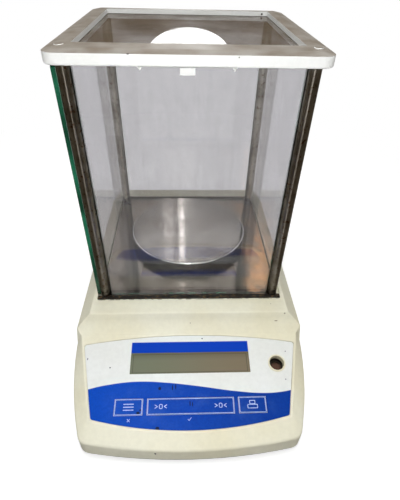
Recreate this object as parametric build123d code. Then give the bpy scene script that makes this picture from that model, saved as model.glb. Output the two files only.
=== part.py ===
from build123d import *
from math import cos, pi, radians, sin, sqrt, tan
import os

# Precision balance with a glass weighing chamber.
# Millimetres. The table is z = 0, x = 0 is the middle plane, +Y points to the rear and the
# origin lies under the middle of the whole object.

# housing, outside
body_half_width = 99.4
front_y = -160.0
rear_y = 157.0
deck_z = 61.0
deck_half_width = 87.8
skirt_bottom_z = 8.4
base_bottom_z = 6.0
wall = 3.2
rear_corner_radius = 14.0
front_corner_radius = 9.0
wall_top_rounding = 2.5
console_rounding = 1.5
deck_rounding = 1.5
side_rounding = 1.6

# plan of the console: straight sides end at shoulder_y and curve in to the front corners
shoulder_y = -71.5
corner_half_width = 84.4
corner_y = -152.5
side_bulge = 3.6
wall_top_front_z = 22.0
wall_top_slope = 10.0

# ramp between the deck and the console
crease_y = -59.0
ramp_slope = 65.0
ramp_radius = 16.4

# console plane: origin at the middle of the panel's top edge
console_slope = 13.5
console_y = -72.5
console_z = 46.7
panel_rim = 1.8

# printed panel, half widths and distances down the slope
panel_top_half = 90.8
panel_top_side = 7.6
panel_bottom_half = 77.2
panel_bottom_side = 68.0
panel_bottom = 77.4
overlay_thickness = 0.5
membrane_thickness = 0.9

# display, keys and level on the panel
display_half = 50.0
display_top = 15.6
display_bottom = 33.4
key_top = 53.4
key_height = 12.0
key_gap = 0.35
key_travel = 0.5
small_key_width = 21.5
wide_key_width = 68.0
key_pitch = 48.75
dome_radius = 4.0
dome_height = 0.12
level_u = 73.0
level_v = 26.3
level_radius = 7.4
level_depth = 6.5
level_bore = 6.1
vial_height = 9.0

# weighing chamber
floor_z = 62.0
floor_thickness = 1.0
floor_half_width = 80.4
floor_front_y = -38.0
seal_front_y = -41.9
seal_half_width = 83.6
floor_rear_y = 134.3
post_x = 76.4
post_front_y = -35.2
post_rear_y = 128.4
post_radius = 4.6
frame_bottom_z = 258.4
frame_top_z = 266.6
frame_half_width = 87.0
frame_front_y = -44.5
frame_rear_y = 135.0
frame_corner_radius = 9.0
opening_half_width = 72.9
opening_front_y = -22.0
opening_rear_y = 122.3
glass_thickness = 3.0
door_inner_x = 81.2
door_front_y = -35.5
door_rear_y = 134.0
right_door_open = 12.5
door_bottom_z = 59.0
door_top_z = 261.4
door_chamfer = 6.0
groove_play = 0.3
top_door_half_width = 74.0
top_door_z = 259.8
top_door_front_y = -25.5
pane_half_width = 71.2
clip_x = -1.8
clip_half_width = 30.0
cap_x = 78.7
cap_y = -28.0

# pan and weigh cell
pan_y = 53.5
pan_radius = 60.0
pan_top_z = 74.0
pan_rim_height = 8.5
pan_sheet = 0.8
shaft_radius = 4.0
floor_hole_radius = 9.0
pivot_y = 68.0
pivot_z = 40.0
pivot_radius = 1.5
running_play = 0.05
coil_y = 118.0
overload_x = 10.0

# feet
foot_x = 72.0
front_foot_y = -118.0
rear_foot_y = 132.0
foot_stud_radius = 3.0
hook_hole_radius = 11.0
hook_pivot_x = 17.5

os.makedirs("parts", exist_ok=True)

console = Plane(
    origin=(0, console_y, console_z),
    x_dir=(1, 0, 0),
    z_dir=(0, -sin(radians(console_slope)), cos(radians(console_slope))),
)


def save(shape, name):
    export_step(shape, f"parts/{name}.step")


def block(x0, x1, y0, y1, z0, z1):
    return Pos((x0 + x1) / 2, (y0 + y1) / 2, (z0 + z1) / 2) * Box(x1 - x0, y1 - y0, z1 - z0)


def rod(x, y, z0, z1, radius):
    return Pos(x, y, (z0 + z1) / 2) * Cylinder(radius, z1 - z0)


def rod_y(x, z, y0, y1, radius):
    return Pos(x, (y0 + y1) / 2, z) * Rot(90, 0, 0) * Cylinder(radius, y1 - y0)


def rod_x(y, z, x0, x1, radius):
    return Pos((x0 + x1) / 2, y, z) * Rot(0, 90, 0) * Cylinder(radius, x1 - x0)


def on_console(shape, u, v, w):
    # u across, v down the slope, w above the console's surface
    return console * Pos(u, -v, w) * shape


def console_plate(u0, u1, v0, v1, w0, w1):
    size = Box(u1 - u0, v1 - v0, w1 - w0)
    return on_console(size, (u0 + u1) / 2, (v0 + v1) / 2, (w0 + w1) / 2)


def console_surface_z(y):
    return console_z + (y - console_y) * tan(radians(console_slope))


def side_and_front(inset):
    # right side curve and the front arc of the plan, as two arcs' points
    half = body_half_width - inset
    corner = (corner_half_width - inset, corner_y + inset)
    middle_x = (half + corner[0]) / 2 + side_bulge
    middle = (middle_x, (shoulder_y + corner[1]) / 2)
    return half, middle, corner


def plan_face(inset):
    half, middle, corner = side_and_front(inset)
    rear = rear_y - inset
    right = Line((half, rear), (half, shoulder_y))
    right_curve = ThreePointArc((half, shoulder_y), middle, corner)
    front = ThreePointArc(corner, (0, front_y + inset), (-corner[0], corner[1]))
    left_curve = ThreePointArc(front @ 1, (-middle[0], middle[1]), (-half, shoulder_y))
    left = Line((-half, shoulder_y), (-half, rear))
    back = Line((-half, rear), (half, rear))
    face = make_face([right, right_curve, front, left_curve, left, back])
    rear_corners = [v for v in face.vertices() if v.Y > rear - 1]
    face = fillet(rear_corners, rear_corner_radius - inset)
    front_corners = [v for v in face.vertices() if v.Y < corner_y + inset + 1]
    return fillet(front_corners, front_corner_radius - inset)


def slanted_plane(y, z, slope):
    angle = radians(slope)
    return Plane(origin=(0, y, z), x_dir=(1, 0, 0), z_dir=(0, -sin(angle), cos(angle)))


def console_form(inset):
    # the body in front of the shoulder: vertical walls, then ruled facets up to the console
    half, middle, corner = side_and_front(inset)
    low_z = wall_top_front_z - inset
    low = slanted_plane(front_y, low_z, wall_top_slope)
    stretch = cos(radians(wall_top_slope))

    def low_point(x, y):
        return (x, (y - front_y) / stretch)

    shoulder = low_point(half, shoulder_y)
    mid = low_point(*middle)
    tip = low_point(*corner)
    nose = low_point(0, front_y + inset)
    low_face = make_face([
        Line((-shoulder[0], shoulder[1]), shoulder),
        ThreePointArc(shoulder, mid, tip),
        ThreePointArc(tip, nose, (-tip[0], tip[1])),
        ThreePointArc((-tip[0], tip[1]), (-mid[0], mid[1]), (-shoulder[0], shoulder[1])),
    ])
    low_corners = [v for v in low_face.vertices() if v.Y < tip[1] + 1]
    low_face = fillet(low_corners, front_corner_radius - inset)

    high = console.offset(-inset)
    reach = panel_rim - inset
    narrowing = (panel_top_half - panel_bottom_half) / (panel_bottom_side - panel_top_side)
    top_v = (console_y - shoulder_y) / cos(radians(console_slope))
    top_half = panel_top_half + narrowing * (panel_top_side - top_v) + reach
    low_corner = (panel_bottom_half + reach, -panel_bottom_side - reach)
    high_face = make_face([
        Line((-top_half, -top_v), (top_half, -top_v)),
        Line((top_half, -top_v), low_corner),
        ThreePointArc(low_corner, (0, -panel_bottom - reach), (-low_corner[0], low_corner[1])),
        Line((-low_corner[0], low_corner[1]), (-top_half, -top_v)),
    ])
    high_corners = [v for v in high_face.vertices() if v.Y < low_corner[1] + 1]
    high_face = fillet(high_corners, 4.0)

    facets = loft([low * low_face, high * high_face], ruled=True)
    walls = extrude(low * low_face, amount=deck_z, dir=(0, 0, -1))
    return facets + walls


def ramp_cutter(inset):
    # all that lies above the ramp and the console's plane, in front of the crease
    crease = (crease_y + inset * 0.6, deck_z - inset)
    slope = tan(radians(ramp_slope))
    level = console_surface_z(0) - inset / cos(radians(console_slope))
    tilt = tan(radians(console_slope))
    foot_y = (crease[1] - slope * crease[0] - level) / (tilt - slope)
    foot = (foot_y, level + tilt * foot_y)
    end = (-110, level - tilt * 110)
    ramp = FilletPolyline(crease, foot, end, radius=ramp_radius)
    roof = Polyline(end, (end[0], 90), (crease[0], 90), crease)
    face = make_face(Plane.YZ * (ramp + roof))
    return extrude(face, amount=120, both=True)


def rear_form(inset):
    # the body behind the shoulder, with the deck's slanted sides and the ramp
    half, rear = body_half_width - inset, rear_y - inset
    outline = Pos(0, (rear + shoulder_y) / 2) * Rectangle(2 * half, rear - shoulder_y)
    outline = fillet(outline.vertices().group_by(Axis.Y)[-1], rear_corner_radius - inset)
    top_z = deck_z - inset
    form = extrude(outline, amount=top_z)
    edge = deck_half_width - inset * (sqrt(2) - 1)
    for side in (-1, 1):
        outer = side * (edge + 30)
        slant = Polyline((side * edge, top_z), (outer, top_z - 30), (outer, top_z), close=True)
        form -= extrude(Plane.XZ * make_face(slant), amount=200, both=True)
    form -= ramp_cutter(inset)
    if inset == 0:
        for side in (-1, 1):
            form = shoulder_facet(form, side)
    return form


def shoulder_facet(form, side):
    # small slanted face where the ramp's end turns into the console's side
    inner = Vector(side * 94.4, shoulder_y, console_surface_z(shoulder_y))
    upper = Vector(side * body_half_width, crease_y - 4.0, 53.5)
    lower = Vector(side * body_half_width, shoulder_y, 37.8)
    normal = (upper - inner).cross(lower - inner)
    if normal.X * side < 0:
        normal = normal * -1
    plane = Plane(origin=inner, z_dir=normal)
    return form - plane * Pos(0, 0, 25) * Box(50, 50, 50)


def body_form(inset):
    return rear_form(inset) + console_form(inset)


def edges_in(shape, plane):
    # edges that lie in the plane, apart from the joint at the shoulder
    found = []
    for edge in shape.edges():
        points = [edge @ 0, edge @ 0.5, edge @ 1]
        if all(abs(plane.to_local_coords(point).Z) < 0.01 for point in points):
            if max(abs(point.Y - shoulder_y) for point in points) > 0.5:
                found.append(edge)
    return found


def outer_body():
    # the same form with its long edges rounded
    front = console_form(0)
    wall_top = slanted_plane(front_y, wall_top_front_z, wall_top_slope)
    front = front.fillet(wall_top_rounding, edges_in(front, wall_top))
    front = front.fillet(console_rounding, edges_in(front, console))
    body = rear_form(0) + front
    side_top_z = deck_z - body_half_width + deck_half_width
    body = body.fillet(side_rounding, edges_in(body, Plane.XY.offset(side_top_z)))
    return body.fillet(deck_rounding, edges_in(body, Plane.XY.offset(deck_z)))


def panel_face(inset=0.0):
    half_top, half_bottom = panel_top_half - inset, panel_bottom_half - inset
    top_side = -panel_top_side - inset
    top = ThreePointArc((-half_top, top_side), (0, -inset), (half_top, top_side))
    right = Line(top @ 1, (half_bottom, -panel_bottom_side + inset))
    bottom = ThreePointArc(
        right @ 1, (0, -panel_bottom + inset), (-half_bottom, -panel_bottom_side + inset)
    )
    left = Line(bottom @ 1, top @ 0)
    face = make_face([top, right, bottom, left])
    return fillet(face.vertices(), 2.0)


def panel_layer(inset, w_low, w_high):
    return console * Pos(0, 0, w_low) * extrude(panel_face(inset), amount=w_high - w_low)


key_fields = {
    "menu_key": (-key_pitch, small_key_width),
    "zero_key": (0.0, wide_key_width),
    "print_key": (key_pitch, small_key_width),
}
housing_screw_places = [(x, y) for x in (-86, 86) for y in (-55, 60)] + [(-60, -138), (60, -138)]
post_places = [(x, y) for y in (post_front_y, post_rear_y) for x in (-post_x, post_x)]
stud_radii = {post_front_y: 2.0, post_rear_y: 1.5}
cell_screw_places = [(x, y) for x in (-32, 32) for y in (28, 134)]
board_screw_places = [(x, y) for x in (-58, 58) for y in (-124, -70)]


def door_groove(side, low_z, high_z):
    inner = side * (door_inner_x - groove_play)
    outer = side * (door_inner_x + glass_thickness + groove_play)
    return block(min(inner, outer), max(inner, outer), door_front_y - 0.5, rear_y + 5, low_z, high_z)


def make_upper_housing():
    shell = outer_body() & block(-120, 120, -200, 200, skirt_bottom_z, 100)
    shell -= body_form(wall)
    skin = body_form(0.8)
    # ribs under the door grooves and screw bosses
    for side in (-1, 1):
        middle = side * 83.0
        shell += block(middle - 3.5, middle + 3.5, door_front_y - 4, rear_y - wall, 55.5, deck_z - 1) & skin
    for x, y in housing_screw_places:
        roof_z = deck_z - 2 if y > crease_y else console_surface_z(y) - 2
        shell += rod(x, y, 16.5, roof_z, 4.0) & skin
        shell -= rod(x, y, 10, roof_z - 5, 1.3)
    for side in (-1, 1):
        shell -= door_groove(side, door_bottom_z - 0.2, 80)
    for x, y in post_places:
        shell -= rod(x, y, 40, 80, stud_radii[y] + 0.6)
    shell -= rod(0, pan_y, 40, 80, floor_hole_radius + 1)
    # recess, display opening, level hole and the slot of the keypad's tail
    depth = overlay_thickness + membrane_thickness
    shell -= panel_layer(-0.15, -depth, 3)
    shell -= console_plate(-display_half + 2, display_half - 2, display_top + 1, display_bottom - 1, -10, 1)
    shell -= on_console(Cylinder(level_radius - 0.4, 20), level_u, level_v, -5)
    shell -= console_plate(-12, 12, 45, 47, -10, 1)
    # rear openings
    shell -= block(-50, -30, rear_y - 8, rear_y + 5, 24.4, 35.6)
    for x in (-40 - 12.5, -40 + 12.5):
        shell -= rod_y(x, 30, rear_y - 8, rear_y + 5, 3.3)
    shell -= rod_y(45, 30, rear_y - 8, rear_y + 5, 5.2)
    return shell


def make_lower_housing():
    tray = extrude(Pos(0, 0, base_bottom_z) * plan_face(0.7), amount=skirt_bottom_z - 0.2 - base_bottom_z)
    tray += extrude(Pos(0, 0, base_bottom_z) * plan_face(wall + 0.3), amount=10)
    tray -= extrude(Pos(0, 0, base_bottom_z + 3) * plan_face(wall + 2.8), amount=20)
    for x, y in housing_screw_places:
        tray += rod(x, y, 8, 16.3, 4.6)
        tray -= rod(x, y, 0, 30, 1.7)
        tray -= rod(x, y, 0, 9.5, 3.2)
    for x, y in cell_screw_places:
        tray += rod(x, y, 8, 14, 5.0)
        tray -= rod(x, y, 7.5, 20, 1.25)
    for x, y in board_screw_places:
        tray += rod(x, y, 8, 14, 3.2)
        tray -= rod(x, y, 10, 20, 1.25)
    for side in (-1, 1):
        tray -= rod(side * foot_x, front_foot_y, 0, 8, 9.1)
        tray += rod(side * foot_x, rear_foot_y, 8, 22, 6.0)
        tray -= rod(side * foot_x, rear_foot_y, 0, 30, foot_stud_radius + running_play)
        tray -= rod(side * foot_x, rear_foot_y, 0, 7.6, 13.0)
    vial_x, vial_y, vial_z = level_place()
    tray += rod(vial_x, vial_y, 8, vial_z - vial_height - 0.1, 4.5)
    tray -= rod(0, pan_y, 0, 20, hook_hole_radius)
    return tray - rod(hook_pivot_x, pan_y, 0, 8.8, 1.25)


def make_hook_cover():
    # swings aside under the base plate
    low_z, high_z = base_bottom_z - 1.6, base_bottom_z - 0.1
    cover = rod(0, pan_y, low_z, high_z, hook_hole_radius + 2.5)
    cover += rod(hook_pivot_x, pan_y, low_z, high_z, 5.0)
    cover -= rod(hook_pivot_x, pan_y, 0, 20, 1.5 + running_play)
    return cover - Pos(-8, pan_y, low_z) * Box(1.6, 12, 0.8)


def make_hook_cover_screw():
    seat_z = base_bottom_z - 1.7
    screw = rod(hook_pivot_x, pan_y, seat_z - 1.2, seat_z, 3.0)
    screw += rod(hook_pivot_x, pan_y, seat_z, base_bottom_z - 0.02, 1.5)
    screw += rod(hook_pivot_x, pan_y, base_bottom_z - 0.02, 8.7, 1.2)
    return screw - Pos(hook_pivot_x, pan_y, seat_z - 1.2) * Box(5, 0.8, 0.8)


def make_front_feet():
    feet = Part()
    for side in (-1, 1):
        foot = rod(side * foot_x, front_foot_y, 0, 7.9, 9.0)
        feet += chamfer(foot.edges().group_by(Axis.Z)[0], 0.6)
    return feet


def make_foot_pad(side):
    pad = rod(side * foot_x, rear_foot_y, 0, 1.6, 9.0)
    return chamfer(pad.edges().group_by(Axis.Z)[0], 0.4)


def make_foot_wheel(side):
    wheel = rod(side * foot_x, rear_foot_y, 1.7, 5.7, 12.0)
    for step in range(24):
        angle = step * 2 * pi / 24
        notch_x = side * foot_x + 12.3 * cos(angle)
        wheel -= rod(notch_x, rear_foot_y + 12.3 * sin(angle), 0, 8, 0.9)
    return wheel + rod(side * foot_x, rear_foot_y, 5.7, 24, foot_stud_radius)


def cross_screw(x, y, head_z, head_height, head_radius, tip_z, thread_radius):
    # pan-head screw with a cross recess, the head's top at head_z, pointing to tip_z
    up = 1 if head_z > tip_z else -1
    seat_z = head_z - up * head_height
    head = rod(x, y, min(head_z, seat_z), max(head_z, seat_z), head_radius)
    shank = rod(x, y, min(seat_z, tip_z), max(seat_z, tip_z), thread_radius)
    recess = Box(head_radius * 1.2, 0.7, head_height) + Box(0.7, head_radius * 1.2, head_height)
    return head + shank - Pos(x, y, head_z) * recess


def screws(places, *sizes):
    group = Part()
    for x, y in places:
        group += cross_screw(x, y, *sizes)
    return group


def make_keypad_overlay():
    film = panel_layer(0.25, -overlay_thickness, 0)
    half = display_half + 0.1
    film -= console_plate(-half, half, display_top - 0.1, display_bottom + 0.1, -2, 2)
    film -= on_console(Cylinder(level_radius - 0.6, 4), level_u, level_v, 0)
    for middle, width in key_fields.values():
        half = width / 2 + key_gap
        film -= console_plate(
            middle - half, middle + half, key_top - key_gap, key_top + key_height + key_gap, -2, 2
        )
    return film


def make_keypad_membrane():
    low = -overlay_thickness - membrane_thickness + 0.02
    sheet = panel_layer(0.6, low, -overlay_thickness - 0.02)
    half = display_half + 0.2
    sheet -= console_plate(-half, half, display_top - 0.2, display_bottom + 0.2, -2, 2)
    sheet -= on_console(Cylinder(level_radius - 0.5, 4), level_u, level_v, 0)
    for middle, width in key_fields.values():
        half = width / 2 + 0.6
        top, bottom = key_top - 0.6, key_top + key_height + 0.6
        sheet -= console_plate(middle - half, middle + half, top, bottom, low + 0.2, 2)
    return sheet


def make_key(name):
    middle, width = key_fields[name]
    size = Box(width, key_height, overlay_thickness)
    field = fillet(size.edges().filter_by(Axis.Z), 0.8)
    return on_console(field, middle, key_top + key_height / 2, -overlay_thickness / 2)


def make_key_domes():
    domes = Part()
    base = -overlay_thickness - membrane_thickness + 0.24
    for u in (-key_pitch, -wide_key_width / 4, wide_key_width / 4, key_pitch):
        dome = Cone(dome_radius, dome_radius * 0.5, dome_height)
        domes += on_console(dome, u, key_top + key_height / 2, base + dome_height / 2)
    return domes


def make_display_window():
    low = -overlay_thickness - membrane_thickness + 0.02
    return console_plate(-display_half, display_half, display_top, display_bottom, low, 0)


def make_level_bezel():
    tube = Cylinder(level_radius - 0.7, 5.0) - Cylinder(level_bore, 6.0)
    flange = Cylinder(level_radius, 0.8) - Cylinder(level_bore, 2.0)
    flange = fillet(flange.edges().group_by(Axis.Z)[-1].sort_by(SortBy.RADIUS)[-1:], 0.35)
    return on_console(flange, level_u, level_v, 0.42) + on_console(tube, level_u, level_v, -2.45)


def level_place():
    y = console_y - level_v * cos(radians(console_slope))
    return level_u, y, console_surface_z(y) - level_depth


def make_level_vial():
    x, y, z = level_place()
    cup = rod(x, y, z - vial_height, z, level_bore - 0.2)
    return cup - rod(x, y, z - 4.5, z - 1.0, level_bore - 1.3)


def make_level_bubble():
    x, y, z = level_place()
    return Pos(x - 0.9, y - 0.6, z - 2.1) * Sphere(1.0)


def make_display_stack():
    middle = (display_top + display_bottom) / 2
    cell = console_plate(-47, 47, middle - 11, middle + 11, -5.6, -3.6)
    light = console_plate(-47, 47, middle - 11, middle + 11, -7.9, -5.7)
    board = console_plate(-60, 55, middle - 20, middle + 24, -9.6, -8.0)
    for u in (-56, 51):
        for v in (middle - 16, middle + 20):
            board -= on_console(Cylinder(1.6, 4), u, v, -9)
    board += console_plate(-8, 8, middle + 12, middle + 18, -8.0, -5.0)
    return cell, light, board


def make_display_cable():
    # flat cable from the display board down to the main board's connector
    path = FilletPolyline((-104.0, 29.0), (-104.0, 25.2), (-96.0, 25.2), (-96.0, 21.7), radius=1.6)
    section = trace(path, 0.5)
    return Pos(20, 0, 0) * extrude(Plane.YZ * section, amount=15, both=True)


def make_main_board():
    board = block(-65, 65, -130, -62, 14.1, 15.7)
    for x, y in board_screw_places:
        board -= rod(x, y, 10, 20, 1.6)
    return board


def make_board_components():
    top = 15.75
    processor, memory = (-40, -100, 14, 14, 2.0), (-10, -112, 10, 18, 1.8)
    converter, amplifier = (16, -78, 12, 8, 1.8), (-30, -74, 8, 6, 1.5)
    power_socket, cable_socket = (49, -100, 14, 10, 6.0), (20, -96, 34, 5, 5.8)
    parts = Part()
    for x, y, width, depth, height in (processor, memory, converter, amplifier, power_socket, cable_socket):
        parts += block(x - width / 2, x + width / 2, y - depth / 2, y + depth / 2, top, top + height)
    for x, y, radius, height in ((-20, -90, 4.0, 8.0), (5, -122, 3.0, 7.0), (0, -70, 3.0, 6.0)):
        parts += rod(x, y, top, top + height, radius)
    return parts


def make_chamber_floor():
    low_z = floor_z - floor_thickness
    plate = block(-floor_half_width, floor_half_width, floor_front_y, floor_rear_y, low_z, floor_z)
    plate = fillet(plate.edges().filter_by(Axis.Z), 3.0)
    collar = rod(0, pan_y, low_z, floor_z + 1.5, floor_hole_radius + 3)
    for x, y in post_places:
        plate -= rod(x, y, 50, 80, stud_radii[y] + 0.1)
    return plate + collar - rod(0, pan_y, 50, 80, floor_hole_radius)


def make_floor_seal(y0, y1):
    # rubber strip on the deck, notched round the doors' grooves and the posts
    seal = block(-seal_half_width, seal_half_width, y0, y1, deck_z, floor_z + 0.6)
    for side in (-1, 1):
        seal -= door_groove(side, 50, 80)
    for x, y in post_places:
        seal -= rod(x, y, 50, 80, post_radius + 0.1)
    return seal.solids().sort_by(SortBy.VOLUME)[-1]


def make_post(x, y):
    stud = stud_radii[y]
    post = rod(x, y, floor_z, frame_bottom_z, post_radius)
    post = fillet(post.edges(), 0.4)
    return post + rod(x, y, 53.5, floor_z, stud) + rod(x, y, frame_bottom_z, 264.0, stud)


def make_post_nuts():
    nuts = Part()
    for x, y in post_places:
        body = extrude(Pos(x, y, 54.6) * RegularPolygon(3.4, 6, rotation=30), amount=3.0)
        nuts += body - rod(x, y, 40, 60, stud_radii[y] + 0.02)
    return nuts


def make_frame_caps():
    caps = Part()
    for side in (-1, 1):
        cap = rod(side * cap_x, cap_y, frame_top_z - 1.4, frame_top_z + 0.4, 2.9)
        caps += fillet(cap.edges().group_by(Axis.Z)[-1], 0.4)
    return caps


def frame_blank():
    depth = frame_rear_y - frame_front_y
    outline = Pos(0, (frame_rear_y + frame_front_y) / 2) * Rectangle(2 * frame_half_width, depth)
    outline = fillet(outline.vertices(), frame_corner_radius)
    blank = extrude(Pos(0, 0, frame_bottom_z) * outline, amount=frame_top_z - frame_bottom_z)
    blank = chamfer(blank.edges().group_by(Axis.Z)[-1], 1.4, 7.0)
    blank = fillet(blank.edges().group_by(Axis.Z)[-1], 3.0)
    return fillet(blank.edges().group_by(Axis.Z)[0], 1.0)


def make_top_frame():
    frame = frame_blank()
    frame -= block(-opening_half_width, opening_half_width, opening_front_y, opening_rear_y, 200, 300)
    slot_half = top_door_half_width + groove_play
    slot_z, slot_front = top_door_z - 0.2, top_door_front_y - groove_play
    slot_top_z = slot_z + glass_thickness + 0.4
    frame -= block(-slot_half, slot_half, slot_front, frame_rear_y + 5, slot_z, slot_top_z)
    for side in (-1, 1):
        frame -= door_groove(side, 250, door_top_z + 0.4)
    pane_half = pane_half_width + groove_play
    frame -= block(-pane_half, pane_half, post_front_y - 1.8, post_front_y + 1.8, 250, 261.0)
    for x, y in post_places:
        frame -= rod(x, y, 250, 264.4, stud_radii[y] + 0.1)
    for side in (-1, 1):
        frame -= rod(side * cap_x, cap_y, frame_top_z - 1.5, 280, 3.0)
    return frame


def make_top_door():
    half, rear = top_door_half_width, frame_rear_y - 0.5
    return block(-half, half, top_door_front_y, rear, top_door_z, top_door_z + glass_thickness)


def make_side_door(side, shift):
    inner, outer = side * door_inner_x, side * (door_inner_x + glass_thickness)
    front, rear = door_front_y + shift, door_rear_y + shift
    pane = block(min(inner, outer), max(inner, outer), front, rear, door_bottom_z, door_top_z)
    front_edges = pane.edges().filter_by(Axis.X).sort_by(Axis.Y)[:2]
    return chamfer(front_edges.sort_by(Axis.Z)[-1:], door_chamfer)


def make_pane(y, top_z):
    return block(-pane_half_width, pane_half_width, y - 1.5, y + 1.5, floor_z + 0.05, top_z)


def make_glass_clip():
    # strip under the front rail, in front of the pane, with a tooth at each end and a tab
    y0, y1 = post_front_y - 4.4, post_front_y - 1.6
    half, low_z = clip_half_width, frame_bottom_z - 1.2
    strip = block(-half, half, y0, y1, low_z, frame_bottom_z - 0.02)
    for side in (-1, 1):
        tooth = make_face(Polyline(
            (side * half, low_z), (side * (half - 3), low_z),
            (side * (half - 1.5), low_z - 2.0), (side * half, low_z)
        ))
        strip += extrude(Plane.XZ * tooth, amount=-y0, dir=(0, -1, 0)) & block(-40, 40, y0, y1, 240, 260)
    strip += block(-4.6, 4.6, y0, y1, low_z - 4.4, low_z)
    return Pos(clip_x, 0, 0) * strip


def make_weighing_pan():
    disc = rod(0, pan_y, pan_top_z - pan_rim_height, pan_top_z, pan_radius)
    disc = fillet(disc.edges().group_by(Axis.Z)[-1], 1.2)
    disc -= rod(0, pan_y, 0, pan_top_z - pan_sheet, pan_radius - pan_sheet)
    socket = rod(0, pan_y, pan_top_z - 4.0, pan_top_z - pan_sheet, 8.0)
    return disc + socket - rod(0, pan_y, 0, pan_top_z - pan_sheet - 0.6, 5.3)


def make_pan_support():
    top = pan_top_z - 4.4
    spider = rod(0, pan_y, top - 3, top, 12.0)
    for step in range(4):
        arm = Pos(0, pan_y, top - 1.5) * Rot(0, 0, 45 + 90 * step) * Pos(22, 0, 0) * Box(44, 9, 3)
        spider += arm
    for x, y in bumper_places():
        spider += rod(x, y, top - 3, top, 6.5)
        spider -= rod(x, y, top - 1.6, top + 1, 4.0)
    spider += rod(0, pan_y, top, top + 2.8, 4.8)
    return spider + rod(0, pan_y, 52.2, top - 3, shaft_radius)


def bumper_places():
    reach = 42 * cos(radians(45))
    return [(x, pan_y + y) for x in (-reach, reach) for y in (-reach, reach)]


def make_pan_bumpers():
    bumpers = Part()
    for x, y in bumper_places():
        bumpers += rod(x, y, pan_top_z - 5.95, pan_top_z - pan_sheet - 0.02, 3.9)
    return bumpers


def make_load_receiver():
    # carries the pan's shaft above, and the weigh-below hook in its lower thread
    bar = block(-14, 14, pan_y - 4, pan_y + 4, 26.2, 51.0)
    bar += rod(0, pan_y, 51.0, 52.1, 4.0)
    return bar - rod(0, pan_y, 20, 33, 1.65)


def make_cell_base():
    plate = block(-38, 38, 22, 140, 14.1, 20.0)
    column = block(-38, 38, 61, 75, 20, 50)
    window = block(-9, 9, 60, 76, 33, 47)
    base = plate + column - window
    base = fillet(base.edges().filter_by(Axis.Z).group_by(Axis.Y)[0], 6.0)
    for x, y in cell_screw_places:
        base -= rod(x, y, 10, 24, 1.7)
    base -= rod_x(pivot_y, pivot_z, -16, 16, pivot_radius)
    base -= rod(overload_x, pan_y, 10, 30, 2.0)
    return base - rod(0, pan_y, 10, 30, 6.0)


def make_cell_guides():
    upper = block(-24, 24, pan_y + 4.6, 75, 50.05, 50.85)
    lower = block(-24, 24, pan_y + 4.6, 60.9, 24.0, 24.8)
    return upper + lower


def make_cell_lever():
    beam = block(-4, 4, pan_y + 5.2, coil_y + 8, 38, 42)
    beam += rod_x(pivot_y, pivot_z, -4, 4, 3.6)
    beam += rod(0, coil_y, 42, 43.5, 6)
    return beam - rod_x(pivot_y, pivot_z, -10, 10, pivot_radius + running_play)


def make_magnet_pot():
    pot = rod(0, coil_y, 20.05, 34, 20) - rod(0, coil_y, 23, 40, 16.5)
    return pot


def make_force_coil():
    ring = rod(0, coil_y, 27, 38, 14.5) - rod(0, coil_y, 20, 36.5, 12.0)
    return ring


def make_position_sensor():
    post = block(-9, 9, coil_y + 22, coil_y + 27, 20.05, 44)
    return post - block(-6, 6, coil_y + 20, coil_y + 24, 36, 45)


def make_power_jack():
    jack = block(38.5, 51.5, rear_y - 14, rear_y - wall - 0.05, 24.0, 36.0)
    jack += rod_y(45, 30, rear_y - wall - 0.05, rear_y + 0.4, 5.0)
    jack -= rod_y(45, 30, rear_y - 9, rear_y + 2, 3.1)
    return jack + rod_y(45, 30, rear_y - 10, rear_y - 1, 1.0)


def make_serial_port():
    flange = block(-55.4, -24.6, rear_y - wall - 1.05, rear_y - wall - 0.05, 23.8, 36.2)
    shell_sketch = Polyline(
        (-48.4, 34.2), (-31.6, 34.2), (-32.9, 25.8), (-47.1, 25.8), (-48.4, 34.2)
    )
    outline = fillet(make_face(shell_sketch).vertices(), 1.6)
    port = extrude(Plane.XZ * outline, amount=rear_y + 3, dir=(0, 1, 0))
    port &= block(-60, -20, rear_y - 12, rear_y + 3, 20, 40)
    port += flange
    for x in (-52.5, -27.5):
        port -= rod_y(x, 30, rear_y - 12, rear_y, 1.6)
    for row_z, count in ((31.4, 5), (28.6, 4)):
        for step in range(count):
            x = -40 + (step - (count - 1) / 2) * 2.76
            port -= rod_y(x, row_z, rear_y - 4, rear_y + 4, 0.55)
    return port


def make_jackscrews():
    pair = Part()
    for x in (-52.5, -27.5):
        hexagon = Plane.XZ * Pos(x, 30) * RegularPolygon(2.8, 6)
        nut = extrude(hexagon, amount=rear_y + 3, dir=(0, 1, 0))
        nut &= block(-60, -20, rear_y - wall, rear_y + 3, 20, 40)
        nut += rod_y(x, 30, rear_y - 8, rear_y - wall, 1.5)
        pair += nut - rod_y(x, 30, rear_y - 2, rear_y + 5, 1.42)
    return pair


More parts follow.
